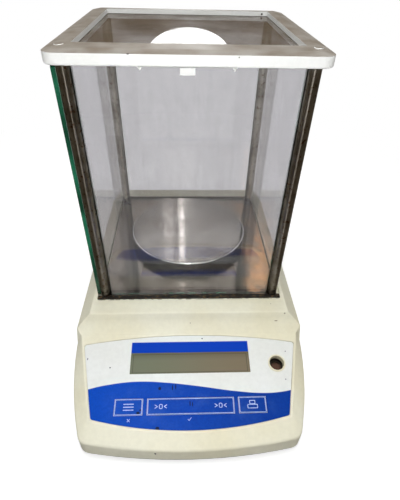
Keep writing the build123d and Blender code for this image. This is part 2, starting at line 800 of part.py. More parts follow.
def build_all():
    save(make_upper_housing(), "upper_housing")
    save(make_lower_housing(), "lower_housing")
    save(make_keypad_overlay(), "keypad_overlay")
    save(make_keypad_membrane(), "keypad_membrane")
    save(make_key_domes(), "key_domes")
    for name in key_fields:
        save(make_key(name), name)
    save(make_display_window(), "display_window")
    for shape, name in zip(make_display_stack(), ("lcd_cell", "lcd_backlight", "display_board")):
        save(shape, name)
    save(make_display_cable(), "display_cable")
    save(make_main_board(), "main_board")
    save(make_board_components(), "board_components")
    save(screws(board_screw_places, 17.3, 1.5, 2.6, 10.5, 1.2), "board_screws")
    save(make_level_bezel(), "level_bezel")
    save(make_level_vial(), "level_vial")
    save(make_level_bubble(), "level_bubble")
    save(make_chamber_floor(), "chamber_floor")
    save(make_floor_seal(seal_front_y, floor_front_y - 0.05), "floor_seal_front")
    save(make_floor_seal(floor_rear_y + 0.05, floor_rear_y + 2.5), "floor_seal_rear")
    save(make_post(-post_x, post_front_y), "post_front_left")
    save(make_post(post_x, post_front_y), "post_front_right")
    save(make_post(-post_x, post_rear_y), "post_rear_left")
    save(make_post(post_x, post_rear_y), "post_rear_right")
    save(make_post_nuts(), "post_nuts")
    save(make_frame_caps(), "frame_caps")
    save(make_top_frame(), "top_frame")
    save(make_top_door(), "top_door")
    save(make_side_door(-1, 0), "left_door")
    save(make_side_door(1, right_door_open), "right_door")
    save(make_pane(post_front_y, 260.6), "front_glass")
    save(make_pane(post_rear_y, frame_bottom_z - 0.05), "rear_glass")
    save(make_glass_clip(), "front_glass_clip")
    save(make_weighing_pan(), "weighing_pan")
    save(make_pan_support(), "pan_support")
    save(make_pan_bumpers(), "pan_bumpers")
    save(make_load_receiver(), "load_receiver")
    save(make_cell_base(), "cell_base")
    save(make_cell_guides(), "cell_guides")
    save(make_cell_lever(), "cell_lever")
    save(rod_x(pivot_y, pivot_z, -15.9, 15.9, pivot_radius), "lever_pivot")
    save(make_magnet_pot(), "magnet_pot")
    save(rod(0, coil_y, 23.05, 35, 9.5), "magnet_core")
    save(make_force_coil(), "force_coil")
    save(make_position_sensor(), "position_sensor")
    save(rod(overload_x, pan_y, 14.5, 25.4, 2.0), "overload_screw")
    save(screws(cell_screw_places, 22.1, 2.0, 3.0, 10.5, 1.2), "cell_screws")
    save(make_front_feet(), "front_feet")
    for side, name in ((-1, "left"), (1, "right")):
        save(make_foot_pad(side), f"{name}_foot_pad")
        save(make_foot_wheel(side), f"{name}_foot_wheel")
    save(screws(housing_screw_places, 7.4, 2.0, 3.0, 23, 1.25), "housing_screws")
    save(make_power_jack(), "power_jack")
    save(make_serial_port(), "serial_port")
    save(make_jackscrews(), "jackscrews")
    save(make_hook_cover(), "hook_cover")
    save(make_hook_cover_screw(), "hook_cover_screw")


if __name__ == "__main__":
    build_all()
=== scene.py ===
import bpy
import math
from mathutils import Matrix, Vector


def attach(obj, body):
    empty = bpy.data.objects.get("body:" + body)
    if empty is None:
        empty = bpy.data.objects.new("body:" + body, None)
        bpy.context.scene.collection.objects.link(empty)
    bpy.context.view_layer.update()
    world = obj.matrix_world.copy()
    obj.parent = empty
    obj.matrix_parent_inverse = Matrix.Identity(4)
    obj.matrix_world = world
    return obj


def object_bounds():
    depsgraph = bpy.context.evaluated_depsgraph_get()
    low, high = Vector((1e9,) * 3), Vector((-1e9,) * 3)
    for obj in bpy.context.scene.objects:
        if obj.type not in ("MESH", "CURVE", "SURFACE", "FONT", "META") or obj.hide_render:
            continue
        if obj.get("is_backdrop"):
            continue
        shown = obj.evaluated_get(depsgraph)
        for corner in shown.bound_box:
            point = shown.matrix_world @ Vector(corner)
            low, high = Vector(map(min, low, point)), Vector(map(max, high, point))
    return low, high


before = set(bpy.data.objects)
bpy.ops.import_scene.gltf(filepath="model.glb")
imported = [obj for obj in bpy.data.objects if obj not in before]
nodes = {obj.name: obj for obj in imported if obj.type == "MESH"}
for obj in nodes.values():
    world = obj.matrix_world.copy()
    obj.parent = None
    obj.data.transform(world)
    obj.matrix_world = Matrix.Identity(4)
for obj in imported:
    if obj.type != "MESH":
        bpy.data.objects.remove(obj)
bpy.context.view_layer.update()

print("stage: frame loaded,", len(nodes), "nodes")


# small helpers for node trees, used by every finish below

def paint(red, green, blue):
    # screen colour, 0 to 255, to the linear values that Blender mixes
    shares = [value / 255 for value in (red, green, blue)]
    linear = [share / 12.92 if share <= 0.04045 else ((share + 0.055) / 1.055) ** 2.4 for share in shares]
    return (*linear, 1.0)


def put(tree, kind, feeds=None, **settings):
    made = tree.nodes.new(kind)
    for name, value in settings.items():
        setattr(made, name, value)
    for name, value in (feeds or {}).items():
        if isinstance(value, bpy.types.NodeSocket):
            tree.links.new(value, made.inputs[name])
        else:
            made.inputs[name].default_value = value
    return made


def reckon(tree, operation, first, second=0.0, third=0.0):
    return put(tree, "ShaderNodeMath", {0: first, 1: second, 2: third}, operation=operation).outputs[0]


def blendColours(tree, share, first, second, way="MIX"):
    return put(tree, "ShaderNodeMix", {0: share, 6: first, 7: second}, data_type="RGBA", blend_type=way).outputs[2]


def ease(tree, value, low, high, toLow=0.0, toHigh=1.0):
    feeds = {"Value": value, "From Min": low, "From Max": high, "To Min": toLow, "To Max": toHigh}
    return put(tree, "ShaderNodeMapRange", feeds, interpolation_type="SMOOTHSTEP").outputs["Result"]


def cloud(tree, place, scale, detail=2.0, rough=0.5):
    feeds = {"Vector": place, "Scale": scale, "Detail": detail, "Roughness": rough}
    return put(tree, "ShaderNodeTexNoise", feeds).outputs[0]


def makeGroup(name, takes, gives):
    group = bpy.data.node_groups.new(name, "ShaderNodeTree")
    for label, kind, value in takes:
        socket = group.interface.new_socket(label, in_out="INPUT", socket_type=kind)
        if value is not None:
            socket.default_value = value
    for label, kind in gives:
        group.interface.new_socket(label, in_out="OUTPUT", socket_type=kind)
    return group, group.nodes.new("NodeGroupInput").outputs, group.nodes.new("NodeGroupOutput").inputs


number, colour, vector = "NodeSocketFloat", "NodeSocketColor", "NodeSocketVector"
towardsRight, towardsRear, upright = (1.0, 0.0, 0.0), (0.0, 1.0, 0.0), (0.0, 0.0, 1.0)

# the sloping console plane: how far it leans, and the middle of its upper edge in metres
slope = math.radians(13.5)
slopeTop = (0.0, -0.0725, 0.0467)


def inMetres(values):
    return [value / 1000 for value in values]


def product(tree, *values):
    result = values[0]
    for value in values[1:]:
        result = reckon(tree, "MULTIPLY", result, value)
    return result


def vectorStep(tree, operation, first, second=(0.0, 0.0, 0.0), result="Vector"):
    return put(tree, "ShaderNodeVectorMath", {0: first, 1: second}, operation=operation).outputs[result]


def splitPlace(tree, place):
    return put(tree, "ShaderNodeSeparateXYZ", {0: place}).outputs


def shadeTone(tree, tone, value):
    return put(tree, "ShaderNodeHueSaturation", {"Color": tone, "Value": value}).outputs[0]


def seenDirectly(tree):
    # 1 for what the camera, a mirror-like surface or glass looks at
    rays = put(tree, "ShaderNodeLightPath").outputs
    seen = reckon(tree, "MAXIMUM", rays["Is Camera Ray"], rays["Is Glossy Ray"])
    return reckon(tree, "MAXIMUM", seen, rays["Is Transmission Ray"])


def glow(tree, tone=(1.0, 1.0, 1.0, 1.0), strength=1.0):
    return put(tree, "ShaderNodeEmission", {"Color": tone, "Strength": strength}).outputs[0]


def mixShaders(tree, share, first, second):
    return put(tree, "ShaderNodeMixShader", {0: share, 1: first, 2: second}).outputs[0]


# shared effects

def makePlasticSkin():
    # moulded plastic: slow yellowing, fine mottle, a few dirt specks and a spark-eroded grain
    group, take, give = makeGroup("plasticSkin", [
        ("Place", vector, None), ("Colour", colour, None), ("Aged", colour, None), ("Aged Share", number, 0.5),
        ("Speck", colour, paint(92, 80, 62)), ("Speck Share", number, 0.1), ("Grain Size", number, 0.0004),
        ("Gloss", number, 0.45)],
        [("Colour", colour), ("Roughness", number), ("Height", number)])
    place = take["Place"]
    slow = ease(group, cloud(group, place, 13.0, 4.0), 0.38, 0.68)
    tone = blendColours(group, reckon(group, "MULTIPLY", slow, take["Aged Share"]), take["Colour"], take["Aged"])
    mottle = cloud(group, place, 240.0, 3.0, 0.6)
    tone = shadeTone(group, tone, ease(group, mottle, 0.3, 0.7, 0.975, 1.02))
    cells = put(group, "ShaderNodeTexVoronoi", {"Vector": place, "Scale": 95.0})
    near = ease(group, cells.outputs["Distance"], 0.05, 0.09, 1.0, 0.0)
    picked = put(group, "ShaderNodeSeparateColor", {0: cells.outputs["Color"]}).outputs[0]
    speck = reckon(group, "MULTIPLY", near, reckon(group, "LESS_THAN", picked, take["Speck Share"]))
    tone = blendColours(group, reckon(group, "MULTIPLY", speck, 0.7), tone, take["Speck"])
    grain = cloud(group, place, reckon(group, "DIVIDE", 1.0, take["Grain Size"]), 1.0)
    rough = reckon(group, "ADD", take["Gloss"], ease(group, slow, 0.0, 1.0, -0.03, 0.07))
    group.links.new(tone, give["Colour"])
    group.links.new(reckon(group, "ADD", rough, reckon(group, "MULTIPLY", speck, 0.2)), give["Roughness"])
    group.links.new(grain, give["Height"])
    return group


def makeSteelSkin():
    # worked steel: fine lines along one direction, dull patches and slow changes of tone
    group, take, give = makeGroup("steelSkin", [
        ("Place", vector, None), ("Stretch", vector, (40.0, 2500.0, 2500.0)), ("Colour", colour, None),
        ("Dull", colour, None), ("Dull Share", number, 0.5), ("Dull Size", number, 0.04), ("Gloss", number, 0.35)],
        [("Colour", colour), ("Roughness", number), ("Height", number)])
    place = take["Place"]
    lines = cloud(group, vectorStep(group, "MULTIPLY", place, take["Stretch"]), 1.0, 4.0, 0.65)
    slow = ease(group, cloud(group, place, reckon(group, "DIVIDE", 1.0, take["Dull Size"]), 4.0, 0.6), 0.4, 0.7)
    tone = blendColours(group, reckon(group, "MULTIPLY", slow, take["Dull Share"]), take["Colour"], take["Dull"])
    tone = shadeTone(group, tone, ease(group, lines, 0.25, 0.75, 0.92, 1.07))
    rough = reckon(group, "ADD", take["Gloss"], ease(group, lines, 0.2, 0.8, -0.015, 0.02))
    group.links.new(tone, give["Colour"])
    group.links.new(reckon(group, "ADD", rough, reckon(group, "MULTIPLY", slow, 0.05)), give["Roughness"])
    group.links.new(lines, give["Height"])
    return group


def makeGrimeMask():
    # blotches and fine specks of dirt or rust
    group, take, give = makeGroup("grimeMask", [
        ("Place", vector, None), ("Size", number, 0.004), ("Share", number, 0.3)], [("Mask", number)])
    blotch = cloud(group, take["Place"], reckon(group, "DIVIDE", 1.0, take["Size"]), 6.0, 0.62)
    edge = reckon(group, "SUBTRACT", 0.78, reckon(group, "MULTIPLY", take["Share"], 0.5))
    group.links.new(ease(group, blotch, edge, reckon(group, "ADD", edge, 0.07)), give["Mask"])
    return group


def makeSpotMark():
    # one mark at a known place, with an uneven outline
    group, take, give = makeGroup("spotMark", [
        ("Place", vector, None), ("Centre", vector, None), ("Reach", vector, (0.001, 0.001, 0.001)),
        ("Ragged", number, 0.5)], [("Mask", number)])
    away = vectorStep(group, "SUBTRACT", take["Place"], take["Centre"])
    far = vectorStep(group, "LENGTH", vectorStep(group, "DIVIDE", away, take["Reach"]), result="Value")
    uneven = reckon(group, "SUBTRACT", cloud(group, take["Place"], 900.0, 3.0), 0.5)
    far = reckon(group, "ADD", far, reckon(group, "MULTIPLY", uneven, take["Ragged"]))
    group.links.new(ease(group, far, 0.75, 1.0, 1.0, 0.0), give["Mask"])
    return group


def makeConsolePlace():
    # millimetres across and down the sloping console, from its upper middle
    group, take, give = makeGroup("consolePlace", [("Place", vector, None)], [("Across", number), ("Down", number)])
    split = splitPlace(group, take["Place"])
    back = reckon(group, "MULTIPLY", reckon(group, "SUBTRACT", split[1], slopeTop[1]), -math.cos(slope) * 1000)
    fall = reckon(group, "MULTIPLY", reckon(group, "SUBTRACT", split[2], slopeTop[2]), -math.sin(slope) * 1000)
    group.links.new(reckon(group, "MULTIPLY", split[0], 1000.0), give["Across"])
    group.links.new(reckon(group, "ADD", back, fall), give["Down"])
    return group


effects = {
    "plasticSkin": makePlasticSkin(), "steelSkin": makeSteelSkin(), "grimeMask": makeGrimeMask(),
    "spotMark": makeSpotMark(), "consolePlace": makeConsolePlace()}
print("stage: shared effects ready")


def effect(tree, name, feeds):
    made = tree.nodes.new("ShaderNodeGroup")
    made.node_tree = effects[name]
    for label, value in feeds.items():
        if isinstance(value, bpy.types.NodeSocket):
            tree.links.new(value, made.inputs[label])
        else:
            made.inputs[label].default_value = value
    return made.outputs


def startFinish(name):
    material = bpy.data.materials.new(name)
    material.use_nodes = True
    tree = material.node_tree
    tree.nodes.clear()
    return material, tree, put(tree, "ShaderNodeTexCoord").outputs


def endFinish(tree, surface):
    output = tree.nodes.new("ShaderNodeOutputMaterial")
    tree.links.new(surface, output.inputs["Surface"])


def surfaceOf(tree, tone, rough, height=None, depth=0.00004, strength=0.3, **plain):
    # plain holds the shader's own constants, by their socket names with _ for a blank
    shader = put(tree, "ShaderNodeBsdfPrincipled", {"Base Color": tone, "Roughness": rough})
    for label, value in plain.items():
        shader.inputs[label.replace("_", " ")].default_value = value
    if height is not None:
        bump = put(tree, "ShaderNodeBump", {"Height": height, "Distance": depth, "Strength": strength})
        tree.links.new(bump.outputs[0], shader.inputs["Normal"])
    return shader.outputs[0]


def brushedSurface(tree, across, *values, **plain):
    # across is the direction in which the fine lines spread a reflection
    shader = surfaceOf(tree, *values, **plain)
    turn = put(tree, "ShaderNodeCombineXYZ", dict(enumerate(across))).outputs[0]
    tree.links.new(turn, shader.node.inputs["Tangent"])
    return shader


def addMarks(tree, place, tone, marks, ink):
    for centre, reach in marks:
        mask = effect(tree, "spotMark", {
            "Place": place, "Centre": inMetres(centre), "Reach": inMetres(reach)})["Mask"]
        tone = blendColours(tree, mask, tone, ink)
    return tone


# cream housing: the upper shell, and the base tray in a dark tone that paints the shadow gap under the skirt

housing = {
    "cream": paint(229, 227, 208), "aged": paint(219, 213, 184), "agedShare": 0.7, "gloss": 0.42, "grain": 0.00045,
    "chip": paint(34, 30, 26), "scuff": paint(120, 108, 84), "grime": paint(74, 62, 44),
    "grimeSide": (0.0804, 0.0845), "grimeRear": (0.134, 0.139), "grimeFront": (-0.0436, -0.0418),
    "grimeDeck": (0.0600, 0.0609), "grimeSize": 0.006, "grimeShare": 0.62}

housingChips = [  # centre and reach in mm
    ((-27.0, -160.0, 17.8), (0.9, 1.5, 1.8)), ((84.5, 111.8, 61.0), (2.0, 2.4, 1.5)),
    ((-86.5, -131.3, 34.0), (0.9, 0.9, 0.9)), ((82.6, -40.2, 61.0), (1.6, 2.2, 1.0)),
    ((79.0, 133.0, 61.0), (2.6, 3.4, 1.0)), ((-79.0, 133.5, 61.0), (2.4, 2.6, 1.0))]

housingScuffs = [
    ((-55.8, -148.6, 29.9), (0.6, 0.6, 0.9)), ((37.1, -156.8, 27.9), (0.7, 0.9, 0.7)),
    ((41.5, -156.0, 28.2), (0.6, 0.6, 0.6)), ((77.2, -62.8, 53.3), (1.6, 0.4, 0.5)),
    ((81.9, -59.8, 61.0), (0.9, 0.4, 0.5)), ((68.0, -150.0, 29.0), (0.5, 0.5, 0.5)),
    ((-62.0, -60.5, 60.0), (0.5, 0.6, 0.5)), ((83.0, 80.0, 61.0), (0.7, 0.8, 0.8)),
    ((85.5, 30.0, 61.0), (0.6, 0.8, 0.8)), ((-84.0, 96.0, 61.0), (0.8, 0.7, 0.8))]


def makeHousingFinish():
    material, tree, coords = startFinish("creamHousing")
    place = coords["Object"]
    skin = effect(tree, "plasticSkin", {
        "Place": place, "Colour": housing["cream"], "Aged": housing["aged"], "Aged Share": housing["agedShare"],
        "Speck Share": 0.07, "Grain Size": housing["grain"], "Gloss": housing["gloss"]})
    tone = addMarks(tree, place, skin["Colour"], housingScuffs, housing["scuff"])
    tone = addMarks(tree, place, tone, housingChips, housing["chip"])
    # grime gathers on the deck along the chamber plate
    split = splitPlace(tree, place)
    side = ease(tree, reckon(tree, "ABSOLUTE", split[0]), *housing["grimeSide"], 1.0, 0.0)
    behind = ease(tree, split[1], *housing["grimeRear"], 1.0, 0.0)
    before = ease(tree, split[1], *housing["grimeFront"])
    onDeck = ease(tree, split[2], *housing["grimeDeck"])
    dirt = effect(tree, "grimeMask", {
        "Place": place, "Size": housing["grimeSize"], "Share": housing["grimeShare"]})["Mask"]
    tone = blendColours(tree, product(tree, side, behind, before, onDeck, dirt, 0.75), tone, housing["grime"])
    endFinish(tree, surfaceOf(
        tree, tone, skin["Roughness"], skin["Height"], 0.00003, 0.25, Specular_IOR_Level=0.45))
    return material


def makePlainPlastic(name, tone, aged, agedShare=0.5, gloss=0.5, grain=0.0005, specks=0.04, bump=0.3):
    material, tree, coords = startFinish(name)
    skin = effect(tree, "plasticSkin", {
        "Place": coords["Object"], "Colour": tone, "Aged": aged, "Aged Share": agedShare, "Speck Share": specks,
        "Grain Size": grain, "Gloss": gloss})
    endFinish(tree, surfaceOf(tree, skin["Colour"], skin["Roughness"], skin["Height"], 0.00003, bump))
    return material


# white top frame with its plugs and the clip under the front rail

topFrame = {
    "white": paint(249, 251, 250), "aged": paint(228, 218, 194), "nick": paint(40, 34, 28),
    # dust and dustShare give the brown of the upward faces: partly dust, partly painted shade
    "dust": paint(98, 79, 52), "dustShare": 0.9, "gloss": 0.36}

frameNicks = [
    ((71.5, 76.5, 265.0), (1.6, 2.6, 1.6)), ((67.9, 122.6, 264.5), (1.0, 1.0, 1.0)),
    ((-36.0, -44.5, 265.3), (0.9, 0.9, 0.5)), ((28.0, -44.5, 264.2), (0.4, 0.5, 0.4)),
    ((64.0, 127.0, 266.6), (0.6, 0.8, 0.6))]


def makeFrameFinish():
    material, tree, coords = startFinish("whiteFrame")
    place = coords["Object"]
    skin = effect(tree, "plasticSkin", {
        "Place": place, "Colour": topFrame["white"], "Aged": topFrame["aged"], "Aged Share": 0.12,
        "Speck Share": 0.05, "Grain Size": 0.0005, "Gloss": topFrame["gloss"]})
    # the upward faces are darkened to a brown tone: partly dust, partly painted shade for the little light they get
    upwardDustAndShade = ease(tree, splitPlace(tree, coords["Normal"])[2], 0.45, 0.98)
    uneven = ease(tree, cloud(tree, place, 60.0, 4.0), 0.2, 0.8, 0.72, 1.0)
    tone = blendColours(tree, product(tree, upwardDustAndShade, uneven, topFrame["dustShare"]), skin["Colour"], topFrame["dust"])
    tone = addMarks(tree, place, tone, frameNicks, topFrame["nick"])
    endFinish(tree, surfaceOf(tree, tone, skin["Roughness"], skin["Height"], 0.00002, 0.2))
    return material


# console film: white field, blue wave, blue bar above the display

console = {  # the wave's edge is given in mm across and down the console, to waveReach on each side
    "white": paint(226, 229, 228), "aged": paint(216, 217, 210), "blue": paint(4, 70, 180),
    "deepBlue": paint(2, 54, 146), "bar": paint(2, 58, 176), "worn": paint(92, 132, 205), "wornShare": 0.14,
    "ink": paint(22, 34, 66), "gloss": 0.33, "waveReach": 92.0, "waveScale": 100.0,
    "wave": [(-92.0, 49.0), (-82.5, 45.3), (-62.0, 41.2), (-42.3, 39.7), (-20.0, 40.9), (3.7, 43.8), (37.2, 48.8),
             (57.2, 50.6), (70.0, 50.3), (82.2, 48.5), (92.0, 45.8)],
    "barReach": 50.0, "barTop": 6.0, "barFoot": 16.1}


def waveMask(tree, across, down):
    curve = tree.nodes.new("ShaderNodeFloatCurve")
    points = curve.mapping.curves[0].points
    reach, scale = console["waveReach"], console["waveScale"]
    places = [((x + reach) / (2 * reach), y / scale) for x, y in console["wave"]]
    points[0].location, points[1].location = places[0], places[-1]
    for spot in places[1:-1]:
        points.new(*spot)
    curve.mapping.update()
    tree.links.new(ease(tree, across, -reach, reach), curve.inputs["Value"])
    curve.inputs["Value"].links[0].from_node.interpolation_type = "LINEAR"
    edge = reckon(tree, "MULTIPLY", curve.outputs[0], scale)
    return ease(tree, reckon(tree, "SUBTRACT", down, edge), -0.12, 0.12)


def boxMask(tree, across, down, left, right, top, foot, soft=0.1):
    return product(
        tree, ease(tree, across, left - soft, left + soft), ease(tree, across, right - soft, right + soft, 1.0, 0.0),
        ease(tree, down, top - soft, top + soft), ease(tree, down, foot - soft, foot + soft, 1.0, 0.0))


def onConsole(across, down, height=0.0):
    # from millimetres on the console plane to the part's own millimetres
    return (across, slopeTop[1] * 1000 - down * math.cos(slope) - height * math.sin(slope),
            slopeTop[2] * 1000 - down * math.sin(slope) + height * math.cos(slope))


filmMarks = [
    (onConsole(-24.9, 45.5), (1.3, 1.5, 1.2)), (onConsole(-14.6, 45.0), (0.5, 2.6, 1.4)),
    (onConsole(-12.0, 44.4), (0.5, 2.4, 1.4)), (onConsole(-25.6, 75.3), (1.8, 1.4, 1.4)),
    (onConsole(-66.5, 27.7), (0.6, 0.7, 0.6)), (onConsole(10.6, 3.2), (0.7, 0.6, 0.6)),
    (onConsole(-86.0, 20.0), (0.4, 1.2, 0.5)), (onConsole(78.5, 40.0), (0.5, 0.5, 0.5)),
    (onConsole(82.0, 16.0), (0.5, 0.5, 0.5))]

keyMarks = [
    (onConsole(-0.6, 57.7), (0.5, 2.6, 1.4)), (onConsole(1.3, 58.1), (0.4, 2.0, 1.4)),
    (onConsole(-41.0, 63.8), (1.6, 1.2, 1.0)), (onConsole(-39.4, 61.8), (0.7, 0.9, 0.7))]


def makeConsoleFinish(name, marks, barShown):
    material, tree, coords = startFinish(name)
    place = coords["Object"]
    spot = effect(tree, "consolePlace", {"Place": place})
    across, down = spot["Across"], spot["Down"]
    skin = effect(tree, "plasticSkin", {
        "Place": place, "Colour": console["white"], "Aged": console["aged"], "Aged Share": 0.5,
        "Speck Share": 0.05, "Grain Size": 0.0009, "Gloss": console["gloss"]})
    # the blue deepens to the right and is rubbed paler round the keys
    blue = blendColours(tree, ease(tree, across, -80.0, 80.0), console["blue"], console["deepBlue"])
    rubbed = ease(tree, cloud(tree, place, 75.0, 5.0, 0.65), 0.42, 0.78)
    nearKeys = boxMask(tree, across, down, -66.0, 66.0, 46.0, 74.0, 9.0)
    blue = blendColours(tree, product(tree, rubbed, nearKeys, console["wornShare"]), blue, console["worn"])
    blue = shadeTone(tree, blue, ease(tree, cloud(tree, place, 700.0, 2.0), 0.3, 0.7, 0.93, 1.07))
    tone = blendColours(tree, waveMask(tree, across, down), skin["Colour"], blue)
    if barShown:
        reach = console["barReach"]
        bar = boxMask(tree, across, down, -reach, reach, console["barTop"], console["barFoot"])
        tone = blendColours(tree, bar, tone, console["bar"])
    tone = addMarks(tree, place, tone, marks, console["ink"])
    endFinish(tree, surfaceOf(
        tree, tone, skin["Roughness"], skin["Height"], 0.00002, 0.15, Specular_IOR_Level=0.12))
    return material


# display: smoked window over a grey-green cell

display = {  # in mm: half the window's width; left, right, top and foot of its thin frame line
    "left": paint(110, 115, 96), "right": paint(120, 109, 89), "shade": paint(56, 58, 46),
    "cell": paint(118, 124, 104), "cellShaded": paint(98, 104, 86), "segment": paint(104, 110, 92),
    "reach": 50.0, "lineOutside": (-48.1, 48.0, 16.8, 32.7), "lineInside": (-47.6, 47.4, 17.4, 32.2)}


def lampsThrough(tree, glass, tint):
    # lamps and soft light pass the pane without being bent, so what is behind it is lit
    rays = put(tree, "ShaderNodeLightPath").outputs
    passed = reckon(tree, "MAXIMUM", rays["Is Shadow Ray"], rays["Is Diffuse Ray"])
    clear = put(tree, "ShaderNodeBsdfTransparent", {"Color": tint}).outputs[0]
    return mixShaders(tree, passed, glass, clear)


def makeWindowFinish():
    # the window is smoked, so the switched-off cell behind it shows as one even tone
    material, tree, coords = startFinish("displayWindow")
    spot = effect(tree, "consolePlace", {"Place": coords["Object"]})
    across, down = spot["Across"], spot["Down"]
    tone = blendColours(
        tree, ease(tree, across, -display["reach"], display["reach"]), display["left"], display["right"])
    # painted shadow: the window darkens towards its top edge, where the bezel's shadow falls
    tone = blendColours(tree, ease(tree, down, 15.6, 23.0, 0.34, 0.0), tone, display["shade"])
    inside = boxMask(tree, across, down, *display["lineInside"], 0.12)
    frameLine = reckon(tree, "SUBTRACT", boxMask(tree, across, down, *display["lineOutside"], 0.12), inside)
    tone = blendColours(tree, reckon(tree, "MULTIPLY", frameLine, 0.5), tone, display["shade"])
    smears = ease(tree, cloud(tree, coords["Object"], 90.0, 4.0), 0.3, 0.8, 0.14, 0.26)
    endFinish(tree, surfaceOf(tree, tone, smears, Specular_IOR_Level=0.35))
    return material


def makeCellFinish():
    material, tree, coords = startFinish("displayCell")
    place = coords["Object"]
    spot = effect(tree, "consolePlace", {"Place": place})
    # painted shadow: the cell darkens towards its top edge, under the bezel
    shade = ease(tree, spot["Down"], 15.0, 27.0, 1.0, 0.0)
    uneven = ease(tree, cloud(tree, place, 30.0, 3.0), 0.2, 0.8, -0.12, 0.12)
    tone = blendColours(tree, reckon(tree, "ADD", shade, uneven), display["cell"], display["cellShaded"])
    # the faint grid of a display that is off
    grid = put(tree, "ShaderNodeTexWave", {"Vector": place, "Scale": 60.0}, bands_direction="X").outputs[1]
    tone = blendColours(tree, ease(tree, grid, 0.9, 1.0, 0.0, 0.12), tone, display["segment"])
    endFinish(tree, surfaceOf(tree, tone, ease(tree, uneven, -0.1, 0.1, 0.2, 0.3), Specular_IOR_Level=0.6))
    return material


# bubble level

level = {
    "ring": paint(226, 223, 200), "liquid": paint(86, 60, 50), "rim": paint(40, 28, 24), "air": paint(150, 128, 116),
    "place": onConsole(73.0, 26.3, 0.0)}


def makeVialFinish():
    # deep brown liquid, darker towards the rim of the vial
    material, tree, coords = startFinish("levelVial")
    away = vectorStep(tree, "SUBTRACT", coords["Object"], inMetres(level["place"]))
    far = vectorStep(tree, "LENGTH", vectorStep(tree, "MULTIPLY", away, (1.0, 1.0, 0.0)), result="Value")
    uneven = ease(tree, cloud(tree, coords["Object"], 300.0, 3.0), 0.2, 0.8, -0.0006, 0.0006)
    towardsRim = ease(tree, reckon(tree, "ADD", far, uneven), 0.0025, 0.0055)
    tone = blendColours(tree, towardsRim, level["liquid"], level["rim"])
    endFinish(tree, surfaceOf(tree, tone, ease(tree, uneven, -0.0006, 0.0006, 0.1, 0.2), Specular_IOR_Level=0.6))
    return material


def makeTintedGlass(name, tint, rough, ior):
    material, tree, coords = startFinish(name)
    tone = shadeTone(tree, tint, ease(tree, cloud(tree, coords["Object"], 160.0, 3.0), 0.2, 0.8, 0.9, 1.08))
    film = ease(tree, cloud(tree, coords["Object"], 400.0, 2.0), 0.3, 0.8, rough, rough + 0.08)
    glass = surfaceOf(tree, tone, film, Transmission_Weight=1.0, IOR=ior)
    endFinish(tree, lampsThrough(tree, glass, tint))
    return material


# weighing pan and chamber floor: stainless sheet, lines running across

sheetSteel = {
    "pan": paint(124, 121, 116), "panDull": paint(102, 96, 89), "floor": paint(150, 142, 132),
    "floorDull": paint(98, 84, 70), "dullShare": 0.9, "stain": paint(90, 64, 42), "rough": 0.11,
    "rimWallReflection": paint(92, 88, 86), "rimHighlight": paint(240, 240, 238), "panMiddle": (0.0, 0.0535, 0.074),
    "warmReflection": paint(208, 160, 114), "warmReflectionShare": 0.85, "floorFrontShade": 0.36, "panGrime": 0.24, "floorGrime": 0.22}

panMarks = [
    ((-35.4, 57.6, 74.0), (1.7, 1.2, 1.0)), ((-30.1, 28.7, 74.0), (0.9, 1.1, 1.0)),
    ((-17.6, 30.3, 74.0), (0.7, 1.0, 1.0)), ((-27.0, 27.0, 74.0), (0.5, 0.6, 1.0)),
    ((-49.4, 48.4, 74.0), (0.8, 0.9, 1.0)), ((24.2, 89.7, 74.0), (0.8, 1.0, 1.0)),
    ((-34.0, 89.0, 74.0), (0.6, 0.7, 1.0)), ((12.0, 20.0, 74.0), (0.5, 0.5, 1.0))]

floorMarks = [
    ((76.0, -33.0, 62.0), (3.6, 3.0, 1.0)), ((-77.0, -33.5, 62.0), (2.8, 2.2, 1.0)),
    ((79.0, 60.0, 62.0), (0.8, 1.2, 1.0)), ((60.0, -20.0, 62.0), (0.6, 0.9, 1.0)),
    ((-71.0, 118.0, 62.0), (1.4, 1.6, 1.0)), ((72.0, 124.0, 62.0), (1.8, 1.4, 1.0))]


def panRim(tree, place, tone):
    # a painted highlight round the pan's edge, and a painted reflection of the floor plate on its side wall
    away = vectorStep(tree, "SUBTRACT", place, sheetSteel["panMiddle"])
    height = splitPlace(tree, away)[2]
    far = vectorStep(tree, "LENGTH", vectorStep(tree, "MULTIPLY", away, (1.0, 1.0, 0.0)), result="Value")
    tone = blendColours(tree, ease(tree, far, 0.0588, 0.0593), tone, sheetSteel["rimHighlight"])
    return blendColours(tree, ease(tree, height, -0.0016, -0.0009, 1.0, 0.0), tone, sheetSteel["rimWallReflection"])


def paintedWarmReflection(tree, place, tone):
    # a warm reflection painted along the plate's right side as a brown tone, strongest towards the front
    split = splitPlace(tree, place)
    uneven = ease(tree, cloud(tree, place, 60.0, 4.0), 0.25, 0.75, -0.012, 0.012)
    right = ease(tree, reckon(tree, "ADD", split[0], uneven), 0.054, 0.078)
    front = ease(tree, split[1], 0.02, 0.09, 1.0, 0.35)
    return blendColours(tree, product(tree, right, front, sheetSteel["warmReflectionShare"]), tone, sheetSteel["warmReflection"])


